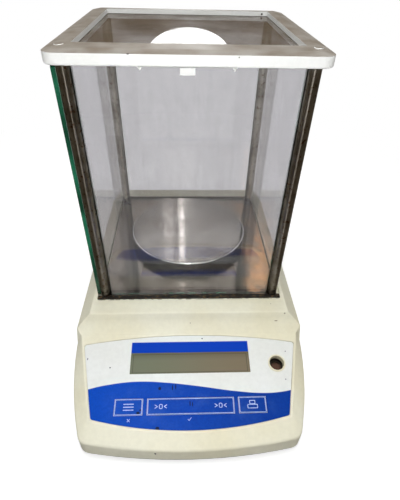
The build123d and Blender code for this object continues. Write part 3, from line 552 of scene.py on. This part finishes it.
def makeSheetFinish(name, tone, dull, marks, grime, detail, front=1.0):
    # front is what is left of the tone at the front edge, where the sheet looks darkest: a painted dark reflection
    material, tree, coords = startFinish(name)
    place = coords["Object"]
    skin = effect(tree, "steelSkin", {
        "Place": place, "Stretch": (45.0, 2600.0, 2600.0), "Colour": tone, "Dull": dull,
        "Dull Share": sheetSteel["dullShare"], "Dull Size": 0.03, "Gloss": sheetSteel["rough"]})
    # painted reflection: the sheet darkens towards its front edge
    shade = ease(tree, splitPlace(tree, place)[1], -0.04, 0.12, front, 1.0)
    shown = detail(tree, place, blendColours(tree, 1.0, skin["Colour"], shade, "MULTIPLY"))
    shown = addMarks(tree, place, shown, marks, sheetSteel["stain"])
    dirt = effect(tree, "grimeMask", {"Place": place, "Size": 0.0035, "Share": grime})["Mask"]
    shown = blendColours(tree, reckon(tree, "MULTIPLY", dirt, 0.6), shown, sheetSteel["stain"])
    rough = reckon(tree, "ADD", skin["Roughness"], reckon(tree, "MULTIPLY", dirt, 0.2))
    endFinish(tree, brushedSurface(
        tree, towardsRear, shown, rough, skin["Height"], 0.00001, 0.012, Metallic=1.0, Anisotropic=1.0))
    return material


# posts: polished rods with rings of fine scratches, tarnish and rust specks

posts = {
    "steel": paint(158, 153, 143), "tarnish": paint(88, 75, 60), "rust": paint(104, 66, 36),
    "rustSize": 0.0026, "rustShare": 0.42, "dirt": paint(26, 20, 16), "foot": (0.062, 0.074), "gloss": 0.34}


def makePostFinish():
    material, tree, coords = startFinish("postSteel")
    place = coords["Object"]
    skin = effect(tree, "steelSkin", {
        "Place": place, "Stretch": (60.0, 60.0, 2600.0), "Colour": posts["steel"], "Dull": posts["tarnish"],
        "Dull Share": 0.6, "Dull Size": 0.02, "Gloss": posts["gloss"]})
    rust = effect(tree, "grimeMask", {
        "Place": place, "Size": posts["rustSize"], "Share": posts["rustShare"]})["Mask"]
    tone = blendColours(tree, reckon(tree, "MULTIPLY", rust, 0.85), skin["Colour"], posts["rust"])
    # dirt collects at the foot of each post
    uneven = ease(tree, cloud(tree, place, 260.0, 4.0), 0.2, 0.8, -0.006, 0.006)
    foot = ease(tree, reckon(tree, "ADD", splitPlace(tree, place)[2], uneven), *posts["foot"], 1.0, 0.0)
    tone = blendColours(tree, reckon(tree, "MULTIPLY", foot, 0.85), tone, posts["dirt"])
    spoilt = reckon(tree, "MAXIMUM", rust, foot)
    rough = reckon(tree, "ADD", skin["Roughness"], reckon(tree, "MULTIPLY", spoilt, 0.3))
    endFinish(tree, brushedSurface(
        tree, upright, tone, rough, skin["Height"], 0.00001, 0.15, Metallic=1.0, Anisotropic=0.9))
    return material


# glass panes with green edges

panes = {
    "clear": paint(246, 247, 246), "tint": paint(206, 204, 209), "edge": paint(6, 62, 42),
    "edgeLight": paint(34, 118, 86), "dirt": paint(40, 32, 24), "dust": paint(176, 172, 176), "dustShare": 0.08,
    "topDustAndReflection": paint(78, 58, 28), "topDustAndReflectionShare": 0.68, "wipeShare": 0.35, "edgeLean": (0.35, 0.6),
    "foot": (0.0612, 0.0632), "bend": 1.5}


def paneMasks(tree, coords, broad, dustShare, wipeShare):
    # the narrow faces of a pane, the dust and wipe marks on its broad ones, the dirt at its foot
    place = coords["Object"]
    lean = vectorStep(tree, "DOT_PRODUCT", coords["Normal"], broad, "Value")
    edge = ease(tree, reckon(tree, "ABSOLUTE", lean), *panes["edgeLean"], 1.0, 0.0)
    slow = cloud(tree, place, 16.0, 5.0, 0.6)
    wipes = cloud(tree, vectorStep(tree, "MULTIPLY", place, (220.0, 220.0, 26.0)), 1.0, 3.0)
    dust = reckon(
        tree, "ADD", ease(tree, slow, 0.35, 0.75, 0.35, 1.0), ease(tree, wipes, 0.45, 0.75, 0.0, wipeShare))
    uneven = ease(tree, cloud(tree, place, 300.0, 4.0), 0.2, 0.8, -0.0007, 0.0007)
    foot = ease(tree, reckon(tree, "ADD", splitPlace(tree, place)[2], uneven), *panes["foot"], 1.0, 0.0)
    return edge, reckon(tree, "MULTIPLY", dust, dustShare), foot, slow


def makePaneFinish(name, broad, tint, dust=panes["dust"], dustShare=panes["dustShare"], wipeShare=panes["wipeShare"]):
    material, tree, coords = startFinish(name)
    edgeMask, dustMask, foot, slow = paneMasks(tree, coords, broad, dustShare, wipeShare)
    haze = ease(tree, slow, 0.3, 0.8, 0.0, 0.04)
    glass = surfaceOf(tree, tint, haze, Transmission_Weight=1.0, IOR=panes["bend"])
    clear = lampsThrough(tree, glass, panes["clear"])
    film = surfaceOf(tree, blendColours(tree, foot, dust, panes["dirt"]), 0.7)
    filmShare = reckon(tree, "MAXIMUM", dustMask, reckon(tree, "MULTIPLY", foot, 0.8))
    surface = mixShaders(tree, filmShare, clear, film)
    # ground edges: deep green with a paler arris
    split = ease(tree, cloud(tree, coords["Object"], 35.0, 4.0), 0.35, 0.7)
    green = blendColours(tree, foot, blendColours(tree, split, panes["edge"], panes["edgeLight"]), panes["dirt"])
    endFinish(tree, mixShaders(tree, edgeMask, surface, surfaceOf(tree, green, 0.22)))
    return material


# rubber, boards, castings and the rest of the inside

def makeRubber(name, tone, dusty, dustShare):
    material, tree, coords = startFinish(name)
    place = coords["Object"]
    flecks = effect(tree, "grimeMask", {"Place": place, "Size": 0.003, "Share": dustShare})["Mask"]
    tone = blendColours(tree, reckon(tree, "MULTIPLY", flecks, 0.7), tone, dusty)
    grain = cloud(tree, place, 1800.0, 2.0)
    endFinish(tree, surfaceOf(tree, tone, ease(tree, grain, 0.2, 0.8, 0.62, 0.82), grain, 0.00004, 0.35))
    return material


def makeSteelFinish(name, tone, dull, dullShare, gloss, lines=900.0):
    material, tree, coords = startFinish(name)
    skin = effect(tree, "steelSkin", {
        "Place": coords["Object"], "Stretch": (lines, lines, lines), "Colour": tone, "Dull": dull,
        "Dull Share": dullShare, "Dull Size": 0.008, "Gloss": gloss})
    endFinish(tree, surfaceOf(
        tree, skin["Colour"], skin["Roughness"], skin["Height"], 0.00002, 0.25, Metallic=1.0))
    return material


def makeBoardFinish():
    material, tree, coords = startFinish("circuitBoard")
    place = coords["Object"]
    bricks = put(tree, "ShaderNodeTexBrick", {"Vector": place, "Scale": 160.0, "Mortar Size": 0.03}).outputs[1]
    tone = blendColours(tree, ease(tree, bricks, 0.0, 1.0, 0.0, 0.6), paint(18, 82, 46), paint(58, 120, 70))
    lacquer = ease(tree, cloud(tree, place, 80.0), 0.2, 0.8, 0.28, 0.42)
    endFinish(tree, surfaceOf(tree, tone, lacquer, bricks, 0.00003, 0.4))
    return material


def makeCoilFinish():
    material, tree, coords = startFinish("coilCopper")
    feeds = {"Vector": coords["Object"], "Scale": 900.0}
    turns = put(tree, "ShaderNodeTexWave", feeds, bands_direction="Z").outputs[1]
    tone = blendColours(tree, turns, paint(120, 58, 26), paint(206, 122, 70))
    endFinish(tree, surfaceOf(tree, tone, ease(tree, turns, 0.0, 1.0, 0.42, 0.25), turns, 0.0001, 0.6, Metallic=1.0))
    return material


finishes = {
    "cream_plastic": makeHousingFinish(),
    # the base tray's dark tone is painted shadow, for the gap under the skirt
    "base_plastic": makePlainPlastic("baseTrayShadowTone", paint(92, 88, 78), paint(72, 66, 54), 0.6, 0.55, 0.0006, 0.08),
    "overlay_film": makeConsoleFinish("consoleFilm", filmMarks, True),
    "key_film": makeConsoleFinish("keyFilm", keyMarks, False),
    "membrane_film": makePlainPlastic(
        "membraneFilm", paint(214, 216, 214), paint(200, 196, 180), 0.3, 0.4, 0.001, 0.0),
    "dome_steel": makeSteelFinish("domeSteel", paint(196, 196, 196), paint(160, 158, 154), 0.3, 0.22),
    "display_lens": makeWindowFinish(),
    "display_glass": makeCellFinish(),
    "backlight": makePlainPlastic("backlight", paint(232, 234, 230), paint(220, 220, 206), 0.3, 0.5, 0.0008, 0.0),
    "circuit_board": makeBoardFinish(),
    "cable_film": makePlainPlastic("cableFilm", paint(196, 158, 92), paint(160, 118, 58), 0.6, 0.35, 0.0012, 0.0),
    "component_black": makePlainPlastic(
        "componentBlack", paint(34, 34, 36), paint(58, 56, 54), 0.4, 0.5, 0.0003, 0.1),
    "screw_steel": makeSteelFinish("screwSteel", paint(178, 178, 176), paint(132, 126, 112), 0.6, 0.34),
    "level_ring": makePlainPlastic("levelRing", level["ring"], paint(214, 204, 170), 0.4, 0.34, 0.0006, 0.03),
    "level_glass": makeVialFinish(),
    "air": makeTintedGlass("levelBubble", level["air"], 0.02, 1.1),
    "floor_steel": makeSheetFinish(
        "floorSteel", sheetSteel["floor"], sheetSteel["floorDull"], floorMarks, sheetSteel["floorGrime"], paintedWarmReflection,
        sheetSteel["floorFrontShade"]),
    "seal_rubber": makeRubber("sealRubber", paint(26, 23, 20), paint(104, 84, 58), 0.5),
    "post_steel": makePostFinish(),
    "white_plastic": makeFrameFinish(),
    "pan_steel": makeSheetFinish(
        "panSteel", sheetSteel["pan"], sheetSteel["panDull"], panMarks, sheetSteel["panGrime"], panRim),
    "cast_aluminium": makeSteelFinish(
        "castAluminium", paint(178, 180, 182), paint(144, 144, 142), 0.5, 0.48, 1500.0),
    "spring_bronze": makeSteelFinish("springBronze", paint(190, 150, 92), paint(140, 104, 60), 0.4, 0.3),
    "magnet_steel": makeSteelFinish("magnetSteel", paint(132, 132, 136), paint(96, 94, 96), 0.4, 0.28),
    "coil_copper": makeCoilFinish(),
    "foot_rubber": makeRubber("footRubber", paint(36, 36, 36), paint(92, 86, 76), 0.35),
    "foot_plastic": makePlainPlastic("footPlastic", paint(40, 40, 42), paint(66, 62, 58), 0.5, 0.5, 0.0004, 0.1),
    "port_metal": makeSteelFinish("portMetal", paint(198, 196, 190), paint(150, 144, 130), 0.4, 0.28),
    "jack_plastic": makePlainPlastic("jackPlastic", paint(32, 32, 34), paint(56, 54, 52), 0.4, 0.42, 0.0005, 0.06)}

# the front glass is clean and clear, the other panes carry the grey haze of old wiping
paneFinishes = {
    "front_glass": makePaneFinish("frontPane", towardsRear, panes["clear"]),
    "rear_glass": makePaneFinish("rearPane", towardsRear, panes["tint"]),
    "left_door": makePaneFinish("leftPane", towardsRight, panes["tint"]),
    "right_door": makePaneFinish("rightPane", towardsRight, panes["tint"]),
    # the top pane's brown film is partly dust and partly a painted reflection of the brown room
    "top_door": makePaneFinish("topPane", upright, panes["clear"], panes["topDustAndReflection"], panes["topDustAndReflectionShare"], 0.0)}

for name, piece in nodes.items():
    for held in piece.material_slots:
        held.material = paneFinishes.get(name) or finishes[held.material.name]
print("stage: finishes given to", len(nodes), "nodes")


# printed key outlines and signs, a hair above the film

prints = {  # metres; keyTop, keyFoot, lift, zeroReach and the places are mm on the console
    "lineWidth": 0.00042, "corner": 0.0011, "thick": 0.00002, "inset": 0.0002, "signLine": 0.00052,
    "smallLine": 0.0004, "armLean": 32, "keyTop": 53.4, "keyFoot": 65.4, "lift": 0.004, "zeroReach": 23.5,
    "noPlace": (-48.0, 69.2), "yesPlace": (-1.0, 69.2), "ink": paint(196, 212, 240), "inkWorn": paint(120, 156, 220)}

keys = {"menu": (-59.5, -38.0), "zero": (-34.0, 34.0), "print": (38.0, 59.5)}  # left and right edge in mm


def makeInkFinish():
    material, tree, coords = startFinish("printInk")
    place = coords["Object"]
    worn = ease(tree, cloud(tree, place, 420.0, 4.0, 0.7), 0.42, 0.72)
    tone = blendColours(tree, reckon(tree, "MULTIPLY", worn, 0.75), prints["ink"], prints["inkWorn"])
    endFinish(tree, surfaceOf(tree, tone, ease(tree, worn, 0.0, 1.0, 0.35, 0.5)))
    return material


inkFinish = makeInkFinish()


def surfaceHeight(nodeName):
    # how far the node's top stands over the console plane, in mm
    up = Vector((0.0, -math.sin(slope), math.cos(slope)))
    base = Vector(slopeTop)
    return max((vertex.co - base).dot(up) for vertex in nodes[nodeName].data.vertices) * 1000


def pickOnly(*pieces):
    bpy.ops.object.select_all(action="DESELECT")
    for piece in pieces:
        piece.select_set(True)
    bpy.context.view_layer.objects.active = pieces[0]


def settle(piece):
    # the piece's place, turn and size go into its mesh
    pickOnly(piece)
    bpy.ops.object.transform_apply(location=True, rotation=True, scale=True)
    return piece


def finishPrint(piece, name, body, across, down, height):
    spot = Vector(inMetres(onConsole(across, down, height)))
    piece.matrix_world = Matrix.Translation(spot) @ Matrix.Rotation(slope, 4, "X")
    settle(piece)
    piece.name = name
    piece.data.name = name
    piece.data.materials.clear()
    piece.data.materials.append(inkFinish)
    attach(piece, body)


def startPlate(width, depth):
    bpy.ops.object.select_all(action="DESELECT")
    bpy.ops.mesh.primitive_plane_add(size=1.0, location=(0.0, 0.0, 0.0))
    piece = bpy.context.active_object
    piece.scale = (width, depth, 1.0)
    settle(piece)
    bpy.ops.object.mode_set(mode="EDIT")
    bpy.ops.mesh.select_all(action="SELECT")
    return piece


def raisePrint():
    bpy.ops.mesh.select_all(action="SELECT")
    bpy.ops.mesh.extrude_region_move(TRANSFORM_OT_translate={"value": (0.0, 0.0, prints["thick"])})
    bpy.ops.mesh.select_all(action="SELECT")
    bpy.ops.mesh.normals_make_consistent(inside=False)
    bpy.ops.object.mode_set(mode="OBJECT")


def roundedOutline(width, depth, corner, line):
    piece = startPlate(width, depth)
    bpy.ops.mesh.bevel(offset=corner, segments=4, affect="VERTICES")
    bpy.ops.mesh.select_all(action="SELECT")
    bpy.ops.mesh.inset(thickness=line)
    bpy.ops.mesh.delete(type="FACE")
    raisePrint()
    return piece


def roundedBar(width, depth):
    piece = startPlate(width, depth)
    bpy.ops.mesh.bevel(offset=depth * 0.48, segments=3, affect="VERTICES")
    raisePrint()
    return piece


def joinPieces(pieces):
    pickOnly(*pieces)
    bpy.ops.object.join()
    return pieces[0]


def shiftPiece(piece, right, up):
    piece.location = (right, up, 0.0)
    return settle(piece)


def turnPiece(piece, angle):
    piece.rotation_euler = (0.0, 0.0, math.radians(angle))
    return settle(piece)


def chevron(reach, line, pointsRight):
    # two leaning bars that meet in a point
    lean = -prints["armLean"] if pointsRight else prints["armLean"]
    rise = 0.43 * reach * math.sin(math.radians(prints["armLean"]))
    arms = [turnPiece(roundedBar(reach, line), way * lean) for way in (1, -1)]
    return joinPieces([shiftPiece(arm, 0.0, way * rise) for arm, way in zip(arms, (1, -1))])


def zeroSign():
    line = prints["signLine"]
    ring = roundedOutline(0.0028, 0.0037, 0.0011, line)
    left = shiftPiece(chevron(0.0027, line, True), -0.0036, 0.0)
    right = shiftPiece(chevron(0.0027, line, False), 0.0036, 0.0)
    return joinPieces([ring, left, right])


def menuSign():
    return joinPieces([shiftPiece(roundedBar(0.0082, 0.00066), 0.0, step * 0.0022) for step in (-1, 0, 1)])


def printSign():
    sheet = shiftPiece(roundedOutline(0.0046, 0.0030, 0.0003, 0.0005), 0.0, 0.0019)
    body = shiftPiece(roundedOutline(0.0082, 0.0032, 0.0007, 0.0005), 0.0, -0.0012)
    return joinPieces([sheet, body])


def crossSign():
    return joinPieces([turnPiece(roundedBar(0.0030, prints["smallLine"]), angle) for angle in (45, -45)])


def tickSign():
    short = shiftPiece(turnPiece(roundedBar(0.0015, prints["smallLine"]), -45), -0.0010, -0.0004)
    long = shiftPiece(turnPiece(roundedBar(0.0030, prints["smallLine"]), 50), 0.0004, 0.0001)
    return joinPieces([short, long])


signs = {  # name, maker and how far it stands from the middle of its key
    "menu": [("menu_key_sign", menuSign, 0.0)], "print": [("print_key_sign", printSign, 0.0)],
    "zero": [("zero_key_sign_left", zeroSign, -prints["zeroReach"]),
             ("zero_key_sign_right", zeroSign, prints["zeroReach"])]}

for keyName, (left, right) in keys.items():
    body = f"{keyName}_key"
    high = surfaceHeight(body) + prints["lift"]
    middle, down = (left + right) / 2, (prints["keyTop"] + prints["keyFoot"]) / 2
    size = [span / 1000 - 2 * prints["inset"] for span in (right - left, prints["keyFoot"] - prints["keyTop"])]
    outline = roundedOutline(*size, prints["corner"], prints["lineWidth"])
    finishPrint(outline, f"{body}_outline", body, middle, down, high)
    for name, makeSign, offset in signs[keyName]:
        finishPrint(makeSign(), name, body, middle + offset, down, high)

filmHigh = surfaceHeight("keypad_overlay") + prints["lift"]
finishPrint(crossSign(), "no_sign", "balance", *prints["noPlace"], filmHigh)
finishPrint(tickSign(), "yes_sign", "balance", *prints["yesPlace"], filmHigh)
print("stage: prints on the keys, film top at", round(filmHigh, 3), "mm")


# stage: floor, lamps, background and what the top pane mirrors

def aim(thing, target):
    thing.rotation_euler = (Vector(target) - thing.location).to_track_quat("-Z", "Y").to_euler()


def addLamp(name, place, target, size, watts, mirrored=True, spreads=True, tall=0.0):
    light = bpy.data.lights.new(name, "AREA")
    light.shape = "RECTANGLE" if tall else "DISK"
    light.size = size
    if tall:
        light.size_y = tall
    light.energy = watts
    lamp = bpy.data.objects.new(name, light)
    bpy.context.scene.collection.objects.link(lamp)
    lamp.location = place
    aim(lamp, target)
    lamp.visible_camera = False
    lamp.visible_glossy = mirrored
    lamp.visible_diffuse = spreads
    return lamp


studio = {
    "ambient": 0.30, "keyWatts": 5.8, "nearWatts": 0.57, "sparkWatts": 1.2, "panWatts": 0.6, "fillWatts": 0.9,
    "backWatts": 4.5, "floorLift": 0.54, "shadowReach": (0.28, 0.62), "discStrength": 5.0,
    "room": (paint(120, 98, 66), paint(88, 74, 54)), "ceiling": (paint(126, 121, 114), paint(88, 83, 76)),
    "table": (paint(120, 112, 98), paint(92, 84, 72)), "dark": (paint(70, 60, 48), paint(40, 34, 28)),
    "middle": (0.0, 0.0, 0.1), "panPlace": (0.0, 0.05, 0.07)}

# the near lamps light the object, and the tall strips draw the streaks on the pan and the posts
addLamp("keyLamp", (0.0, -0.18, 1.24), (0.0, -0.03, 0.08), 0.6, studio["keyWatts"], mirrored=False)
addLamp("nearLamp", (-0.004, -0.29, 0.35), (0.0, -0.05, 0.08), 0.05, studio["nearWatts"], mirrored=False)
addLamp("sparkLamp", (-0.022, -0.75, 0.42), (0.0, 0.02, 0.10), 0.12, studio["sparkWatts"], spreads=False, tall=0.8)
for name, across, width, share in (("panLamp", -0.0224, 0.03, 1.0), ("panLampSide", -0.105, 0.06, 0.5)):
    watts = studio["panWatts"] * share
    addLamp(name, (across, 1.63, 1.30), studio["panPlace"], width, watts, spreads=False, tall=0.6)
for name, across, share in (("fillLeft", -1.15, 1.0), ("fillRight", 1.15, 0.35)):
    addLamp(name, (across, 0.15, 0.75), studio["middle"], 0.8, studio["fillWatts"] * share, mirrored=False)
addLamp("backLamp", (0.0, 1.05, 1.15), studio["middle"], 0.8, studio["backWatts"], mirrored=False)


def makeWorld():
    world = bpy.data.worlds.new("studioWorld")
    bpy.context.scene.world = world
    world.use_nodes = True
    tree = world.node_tree
    tree.nodes.clear()
    feeds = {"Color": (1.0, 0.985, 0.96, 1.0), "Strength": studio["ambient"]}
    soft = put(tree, "ShaderNodeBackground", feeds).outputs[0]
    white = put(tree, "ShaderNodeBackground", {"Color": (1.0, 1.0, 1.0, 1.0), "Strength": 1.0}).outputs[0]
    output = tree.nodes.new("ShaderNodeOutputWorld")
    tree.links.new(mixShaders(tree, seenDirectly(tree), soft, white), output.inputs["Surface"])


def makeFloor():
    # near the object the floor keeps the shadow, farther off it goes over into plain white
    bpy.ops.object.select_all(action="DESELECT")
    bpy.ops.mesh.primitive_plane_add(size=14.0, location=(0.0, 0.0, 0.0))
    floor = bpy.context.active_object
    floor.name = "studioFloor"
    material, tree, coords = startFinish("studioFloor")
    matt = put(tree, "ShaderNodeBsdfDiffuse", {"Color": (0.62, 0.62, 0.62, 1.0)}).outputs[0]
    near = put(tree, "ShaderNodeAddShader", {0: matt, 1: glow(tree, strength=studio["floorLift"])}).outputs[0]
    distance = vectorStep(tree, "LENGTH", coords["Object"], result="Value")
    shown = mixShaders(tree, ease(tree, distance, *studio["shadowReach"]), near, glow(tree))
    endFinish(tree, mixShaders(tree, seenDirectly(tree), matt, shown))
    floor.data.materials.append(material)
    floor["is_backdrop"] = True


def onlyMirrored(thing, throughGlass=False):
    thing.visible_camera = False
    thing.visible_diffuse = False
    thing.visible_transmission = throughGlass
    thing.visible_volume_scatter = False
    thing.visible_shadow = False
    thing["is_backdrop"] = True


def addRoomSide(name, place, turn, spread, tones, throughGlass=False, patch=4.0, detail=2.0):
    bpy.ops.object.select_all(action="DESELECT")
    bpy.ops.mesh.primitive_plane_add(size=1.0, location=place, rotation=[math.radians(angle) for angle in turn])
    side = bpy.context.active_object
    side.name = name
    side.scale = (*spread, 1.0)
    material, tree, coords = startFinish(name)
    uneven = ease(tree, cloud(tree, coords["Object"], patch, detail), 0.3, 0.7)
    endFinish(tree, glow(tree, blendColours(tree, uneven, *tones)))
    side.data.materials.append(material)
    onlyMirrored(side, throughGlass)


def makeMirrored():
    # the far side of the room and its round lamp, seen only as reflections in the top pane
    facing, sideways, wide = (90.0, 0.0, 0.0), (90.0, 0.0, 90.0), (4.8, 3.0)
    addRoomSide("mirroredWall", (0.0, 2.6, 0.82), facing, (3.4, 0.9), studio["room"], patch=3.0, detail=3.0)
    bpy.ops.object.select_all(action="DESELECT")
    bpy.ops.mesh.primitive_circle_add(
        vertices=96, radius=1.0, fill_type="NGON", location=(0.029, 2.45, 0.807),
        rotation=[math.radians(angle) for angle in facing])
    disc = bpy.context.active_object
    disc.name = "mirroredLamp"
    disc.scale = (0.276, 0.17, 1.0)
    material, tree, _ = startFinish("mirroredLamp")
    endFinish(tree, glow(tree, strength=studio["discStrength"]))
    disc.data.materials.append(material)
    onlyMirrored(disc)
    # a dim room round the balance, which the pan, the floor plate and the posts mirror
    addRoomSide("mirroredCeiling", (0.0, 2.4, 2.6), (0.0, 0.0, 0.0), (9.0, 9.2), studio["ceiling"], True)
    addRoomSide("mirroredTable", (0.0, 0.0, 0.0006), (0.0, 0.0, 0.0), (5.2, 4.6), studio["table"])
    addRoomSide("mirroredFront", (0.0, -2.2, 1.1), facing, (5.2, 3.0), studio["dark"])
    addRoomSide("mirroredLeft", (-2.6, 0.2, 1.1), sideways, wide, studio["dark"])
    addRoomSide("mirroredRight", (2.6, 0.2, 1.1), sideways, wide, studio["dark"])


makeWorld()
makeFloor()
makeMirrored()
print("stage: floor, lamps and background")


# camera at the photograph's place

viewpoint = {  # degrees, and the focal length in pixels of a picture 500 pixels high
    "place": (-0.004012, -0.283576, 0.316293), "yaw": 2.945, "pitch": 39.242, "roll": 1.547,
    "focalPixels": 379.544, "picture": 500, "sensor": 36.0}


def makeCamera():
    yaw, pitch, roll = [math.radians(viewpoint[name]) for name in ("yaw", "pitch", "roll")]
    forward = Vector((math.sin(yaw) * math.cos(pitch), math.cos(yaw) * math.cos(pitch), -math.sin(pitch)))
    right = Vector((math.cos(yaw), -math.sin(yaw), 0.0))
    up = right.cross(forward)
    rolledRight = math.cos(roll) * right + math.sin(roll) * up
    rolledUp = -math.sin(roll) * right + math.cos(roll) * up
    data = bpy.data.cameras.new("photoCamera")
    data.sensor_width = viewpoint["sensor"]
    data.lens = viewpoint["focalPixels"] / viewpoint["picture"] * viewpoint["sensor"]
    data.clip_start = 0.01
    data.clip_end = 50.0
    camera = bpy.data.objects.new("photoCamera", data)
    bpy.context.scene.collection.objects.link(camera)
    turn = Matrix((rolledRight, rolledUp, -forward)).transposed().to_4x4()
    camera.matrix_world = Matrix.Translation(Vector(viewpoint["place"])) @ turn
    bpy.context.scene.camera = camera


makeCamera()
bpy.context.scene.view_settings.view_transform = "Standard"

low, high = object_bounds()
